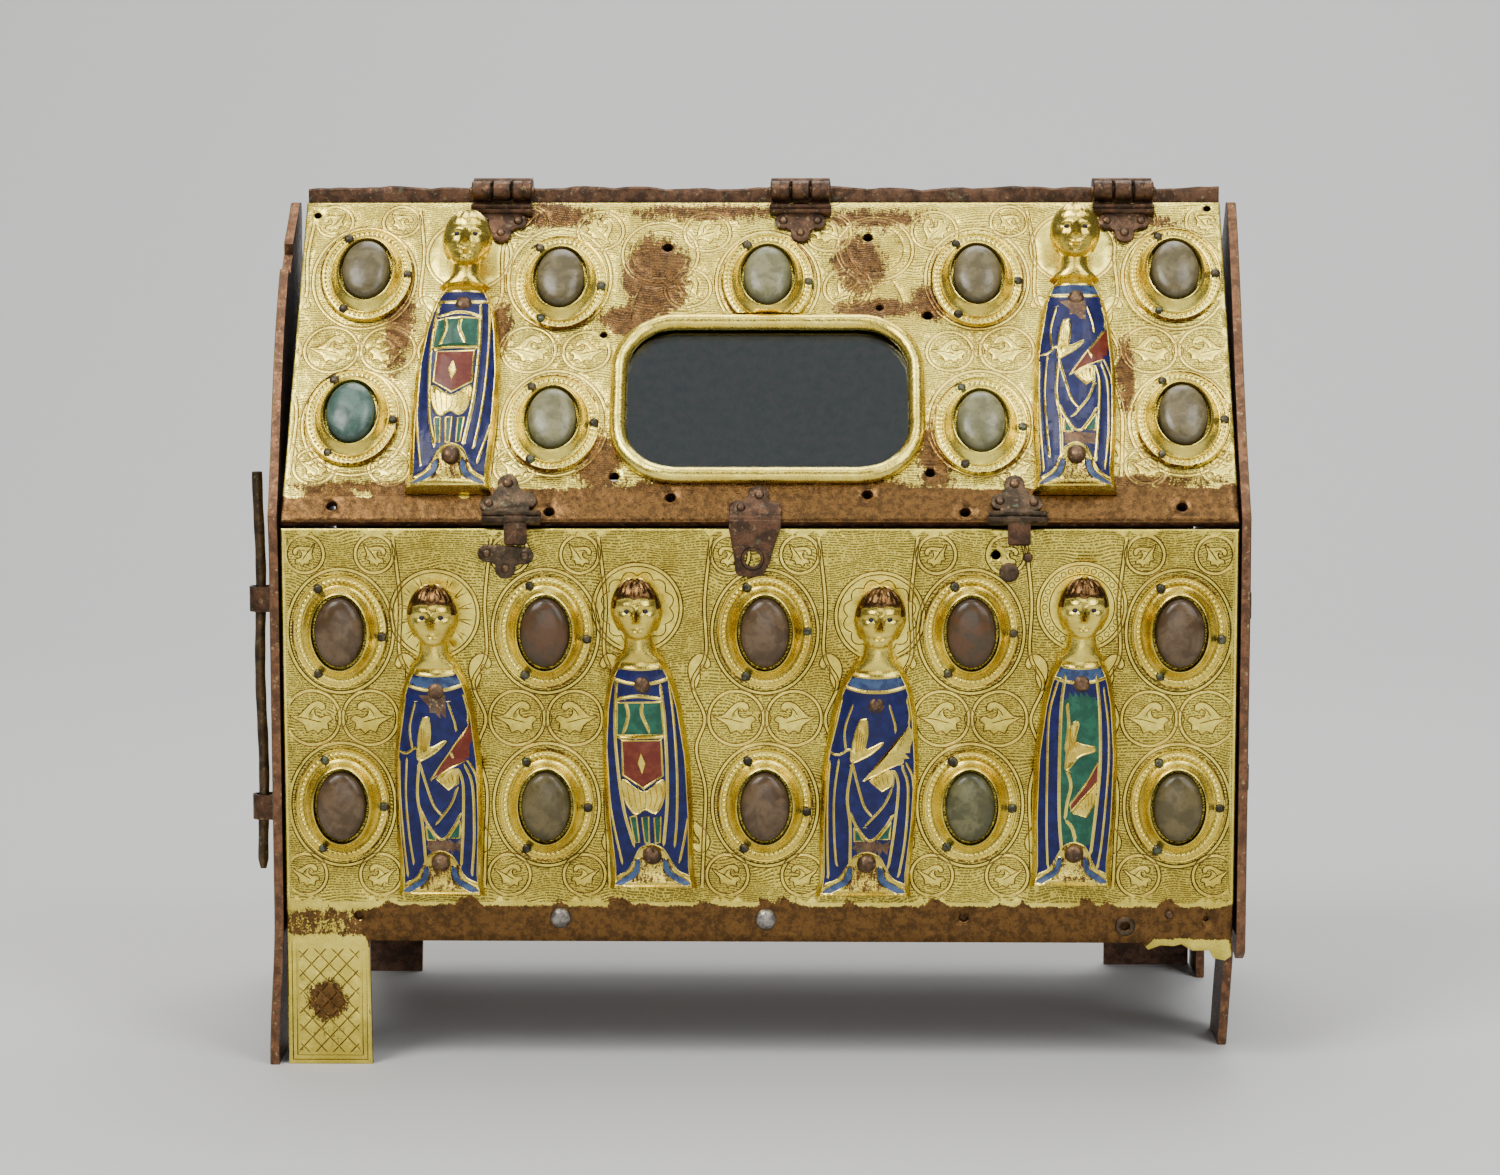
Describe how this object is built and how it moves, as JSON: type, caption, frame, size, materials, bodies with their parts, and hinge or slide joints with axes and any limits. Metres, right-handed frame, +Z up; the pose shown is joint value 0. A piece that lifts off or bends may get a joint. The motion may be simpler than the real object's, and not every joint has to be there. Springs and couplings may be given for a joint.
{
  "type": "reliquary casket",
  "caption": "House-shaped reliquary casket of engraved gilt copper with applied enamelled figures, cabochon mounts, a framed pane and a hinged front roof slope as its lid.",
  "frame": {"origin": "under the middle of the whole casket, at the level of its feet", "axes": "+X along the casket to the right seen from the front, +Y from the lid side to the back, +Z up"},
  "size_m": [0.2632, 0.1366, 0.2297],
  "materials": {
    "gilt_copper_front": "engraved, worn satin gilding with an olive cast over copper",
    "gilt_copper_back": "engraved, worn satin gilding over copper",
    "gilt_copper_lid": "engraved, pale worn gilding over copper",
    "worn_copper_ends": "worn gilding with bare copper edges",
    "bare_copper": "dull bare copper",
    "dark_copper_fittings": "dark patinated copper with green spots",
    "gilt_mounts": "embossed worn gilding",
    "cabochons": "polished, cloudy and faintly translucent",
    "enamelled_figures": "glossy enamel in gilt cells with gilt heads",
    "pane_glass": "clear, dusty"
  },
  "bodies": {
    "casket": {"front_plate": "gilt_copper_front", "back_plate": "gilt_copper_back", "left_end_plate": "worn_copper_ends", "right_end_plate": "worn_copper_ends", "floor_plate": "bare_copper", "roof_back_plate": "gilt_copper_lid", "side_rod": "dark_copper_fittings", "mount_1": "gilt_mounts", "mount_2": "gilt_mounts", "mount_3": "gilt_mounts", "mount_4": "gilt_mounts", "mount_5": "gilt_mounts", "mount_6": "gilt_mounts", "mount_7": "gilt_mounts", "mount_8": "gilt_mounts", "mount_9": "gilt_mounts", "mount_10": "gilt_mounts", "stone_1": "cabochons", "stone_2": "cabochons", "stone_3": "cabochons", "stone_4": "cabochons", "stone_5": "cabochons", "stone_6": "cabochons", "stone_7": "cabochons", "stone_8": "cabochons", "stone_9": "cabochons", "stone_10": "cabochons", "figure_1": "enamelled_figures", "figure_2": "enamelled_figures", "figure_3": "enamelled_figures", "figure_4": "enamelled_figures"},
    "lid": {"lid_plate": "gilt_copper_lid", "window_frame": "gilt_copper_lid", "window_pane": "pane_glass", "hinge_leaf_1": "dark_copper_fittings", "hinge_leaf_2": "dark_copper_fittings", "hinge_leaf_3": "dark_copper_fittings", "eave_strap_1": "dark_copper_fittings", "eave_strap_2": "dark_copper_fittings", "hasp": "dark_copper_fittings", "mount_11": "gilt_mounts", "mount_12": "gilt_mounts", "mount_13": "gilt_mounts", "mount_14": "gilt_mounts", "mount_15": "gilt_mounts", "mount_16": "gilt_mounts", "mount_17": "gilt_mounts", "mount_18": "gilt_mounts", "mount_19": "gilt_mounts", "stone_11": "cabochons", "stone_12": "cabochons", "stone_13": "cabochons", "stone_14": "cabochons", "stone_15": "cabochons", "stone_16": "cabochons", "stone_17": "cabochons", "stone_18": "cabochons", "stone_19": "cabochons", "figure_5": "enamelled_figures", "figure_6": "enamelled_figures"}
  },
  "joints": [
    {"name": "lid_hinge", "type": "hinge", "parent": "casket", "child": "lid", "pos_m": [0, 0.00355, 0.2264], "axis": [-1, 0, 0], "range_deg": [0, 170]}
  ]
}
